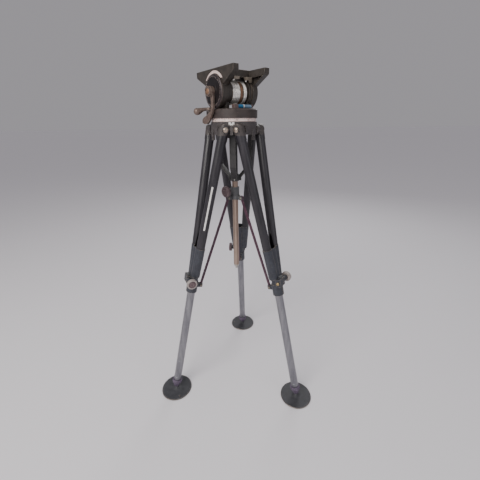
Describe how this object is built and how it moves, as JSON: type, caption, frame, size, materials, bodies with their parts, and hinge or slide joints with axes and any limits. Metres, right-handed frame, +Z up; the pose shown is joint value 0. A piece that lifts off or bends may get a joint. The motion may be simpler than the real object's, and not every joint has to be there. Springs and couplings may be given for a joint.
{
  "type": "heavy tripod with pan and tilt camera head",
  "caption": "Heavy studio tripod with twin-tube legs, centre spreader and a spring-balanced pan and tilt head with camera platform.",
  "frame": {"origin": "on the floor on the axis of the centre column", "axes": "+Z up along the centre column and the pan axis, +Y towards the rear leg, +X to the right; the tilt axle lies 42.7 degrees round from +X"},
  "size_m": [0.5804, 0.518, 1.116],
  "materials": {
    "dark_paint": "satin",
    "head_casting": "dark crackle paint on cast alloy",
    "hub_paint": "dark paint on cast alloy",
    "leg_casting": "blue-grey paint on cast alloy",
    "fitting_grey": "grey cast alloy",
    "tube_black": "black anodised tube",
    "tube_bright": "satin anodised tube",
    "column_metal": "warm satin",
    "plain_steel": "satin",
    "worn_steel": "worn satin",
    "spring_steel": "oiled",
    "brass_part": "dull",
    "scale_ring": "engraved satin",
    "scale_mark": "white paint",
    "vial_glass": "tinted",
    "knob_plastic": "moulded",
    "arm_maroon": "maroon paint",
    "boot_rubber": "faded rubber",
    "pad_rubber": "matt"
  },
  "bodies": {
    "hub": {"hub_casting": "hub_paint", "cage_straps": "dark_paint", "cage_bush": "fitting_grey", "centre_column": "column_metal", "column_end_plug": "plain_steel", "pan_stud": "plain_steel", "pan_thrust_washer": "brass_part", "pan_pointer": "scale_mark", "leg_pivot_bolts": "plain_steel"},
    "pan_head": {"turntable": "head_casting", "pan_scale_ring": "scale_ring", "left_upright": "head_casting", "right_upright": "head_casting", "tilt_axle": "plain_steel", "brake_disc": "worn_steel", "left_spring": "spring_steel", "right_spring": "spring_steel", "spring_plate": "brass_part", "level_base": "dark_paint", "level_vial": "vial_glass"},
    "cradle": {"left_cheek": "head_casting", "right_cheek": "head_casting", "camera_platform": "head_casting", "tilt_scale_arc": "scale_mark", "spring_anchors": "dark_paint"},
    "camera_screw": {"camera_screw": "plain_steel"},
    "tilt_lever": {"tilt_lock_lever": "worn_steel", "tilt_lock_nut": "worn_steel"},
    "pan_lever": {"pan_lock_lever": "worn_steel"},
    "collar": {"spreader_collar": "fitting_grey"},
    "collar_knob": {"collar_knob": "knob_plastic"},
    "rear_leg": {"rear_upper_tubes": "tube_black", "rear_tube_fittings": "fitting_grey", "rear_yoke": "leg_casting"},
    "rear_lower": {"rear_lower_tube": "tube_bright", "rear_boot": "boot_rubber"},
    "rear_knob": {"rear_lock_knob": "knob_plastic"},
    "rear_foot": {"rear_foot_pad": "pad_rubber"},
    "rear_arm": {"rear_spreader_arm": "arm_maroon"},
    "left_leg": {"left_upper_tubes": "tube_black", "left_tube_fittings": "fitting_grey", "left_yoke": "leg_casting"},
    "left_lower": {"left_lower_tube": "tube_bright", "left_boot": "boot_rubber"},
    "left_knob": {"left_lock_knob": "knob_plastic"},
    "left_foot": {"left_foot_pad": "pad_rubber"},
    "left_arm": {"left_spreader_arm": "arm_maroon"},
    "right_leg": {"right_upper_tubes": "tube_black", "right_tube_fittings": "fitting_grey", "right_yoke": "leg_casting"},
    "right_lower": {"right_lower_tube": "tube_bright", "right_boot": "boot_rubber"},
    "right_knob": {"right_lock_knob": "knob_plastic"},
    "right_foot": {"right_foot_pad": "pad_rubber"},
    "right_arm": {"right_spreader_arm": "arm_maroon"}
  },
  "joints": [
    {"name": "pan", "type": "hinge", "parent": "hub", "child": "pan_head", "pos_m": [0, 0, 0.99], "axis": [0, 0, 1], "continuous": true},
    {"name": "tilt", "type": "hinge", "parent": "pan_head", "child": "cradle", "pos_m": [0, 0, 1.048], "axis": [0.7349, 0.6782, 0], "range_deg": [-60, 60]},
    {"name": "camera_screw_turn", "type": "hinge", "parent": "cradle", "child": "camera_screw", "pos_m": [0, 0, 1.09], "axis": [0, 0, 1], "continuous": true},
    {"name": "tilt_lock", "type": "hinge", "parent": "pan_head", "child": "tilt_lever", "pos_m": [0, 0, 1.048], "axis": [0.7349, 0.6782, 0], "range_deg": [0, 15]},
    {"name": "pan_lock", "type": "hinge", "parent": "pan_head", "child": "pan_lever", "pos_m": [-0.06861, -0.02194, 1], "axis": [0, 0, 1], "range_deg": [-15, 20]},
    {"name": "spreader_slide", "type": "slide", "parent": "hub", "child": "collar", "axis": [0, 0, 1], "range_m": [-0.009, 0.0165]},
    {"name": "collar_knob_turn", "type": "hinge", "parent": "collar", "child": "collar_knob", "pos_m": [0, 0, 0.766], "axis": [-0.6691, -0.7431, 0], "continuous": true},
    {"name": "rear_leg_swing", "type": "hinge", "parent": "hub", "child": "rear_leg", "pos_m": [0, 0.0561, 0.95], "axis": [1, 0, 0], "range_deg": [-9.5, 5]},
    {"name": "rear_leg_slide", "type": "slide", "parent": "rear_leg", "child": "rear_lower", "axis": [0, -0.2233, 0.9748], "range_m": [-0.05, 0.3]},
    {"name": "rear_knob_turn", "type": "hinge", "parent": "rear_leg", "child": "rear_knob", "pos_m": [0, 0.18155, 0.4784], "axis": [1, 0, 0], "continuous": true},
    {"name": "rear_foot_tilt", "type": "hinge", "parent": "rear_lower", "child": "rear_foot", "pos_m": [0, 0.26933, 0.019], "axis": [1, 0, 0], "range_deg": [-15, 15]},
    {"name": "rear_arm_swing", "type": "hinge", "parent": "rear_leg", "child": "rear_arm", "pos_m": [0, 0.14104, 0.44297], "axis": [1, 0, 0], "range_deg": [-6.5, 3.5]},
    {"name": "left_leg_swing", "type": "hinge", "parent": "hub", "child": "left_leg", "pos_m": [-0.04858, -0.02805, 0.95], "axis": [-0.5, 0.866, 0], "range_deg": [-9.5, 5]},
    {"name": "left_leg_slide", "type": "slide", "parent": "left_leg", "child": "left_lower", "axis": [0.1933, 0.1116, 0.9748], "range_m": [-0.05, 0.3]},
    {"name": "left_knob_turn", "type": "hinge", "parent": "left_leg", "child": "left_knob", "pos_m": [-0.15723, -0.09077, 0.4784], "axis": [-0.5, 0.866, 0], "continuous": true},
    {"name": "left_foot_tilt", "type": "hinge", "parent": "left_lower", "child": "left_foot", "pos_m": [-0.23324, -0.13466, 0.019], "axis": [-0.5, 0.866, 0], "range_deg": [-15, 15]},
    {"name": "left_arm_swing", "type": "hinge", "parent": "left_leg", "child": "left_arm", "pos_m": [-0.12214, -0.07052, 0.44297], "axis": [-0.5, 0.866, 0], "range_deg": [-6.5, 3.5]},
    {"name": "right_leg_swing", "type": "hinge", "parent": "hub", "child": "right_leg", "pos_m": [0.04858, -0.02805, 0.95], "axis": [-0.5, -0.866, 0], "range_deg": [-9.5, 5]},
    {"name": "right_leg_slide", "type": "slide", "parent": "right_leg", "child": "right_lower", "axis": [-0.1933, 0.1116, 0.9748], "range_m": [-0.05, 0.3]},
    {"name": "right_knob_turn", "type": "hinge", "parent": "right_leg", "child": "right_knob", "pos_m": [0.15723, -0.09077, 0.4784], "axis": [-0.5, -0.866, 0], "continuous": true},
    {"name": "right_foot_tilt", "type": "hinge", "parent": "right_lower", "child": "right_foot", "pos_m": [0.23324, -0.13466, 0.019], "axis": [-0.5, -0.866, 0], "range_deg": [-15, 15]},
    {"name": "right_arm_swing", "type": "hinge", "parent": "right_leg", "child": "right_arm", "pos_m": [0.12214, -0.07052, 0.44297], "axis": [-0.5, -0.866, 0], "range_deg": [-6.5, 3.5]}
  ],
  "couplings": [
    {"joint": "spreader_slide", "follows": "rear_leg_swing", "m_per_rad": -0.09622},
    {"joint": "rear_arm_swing", "follows": "rear_leg_swing", "ratio": 0.66286},
    {"joint": "left_leg_swing", "follows": "rear_leg_swing", "ratio": 1},
    {"joint": "left_arm_swing", "follows": "rear_leg_swing", "ratio": 0.66286},
    {"joint": "right_leg_swing", "follows": "rear_leg_swing", "ratio": 1},
    {"joint": "right_arm_swing", "follows": "rear_leg_swing", "ratio": 0.66286}
  ]
}
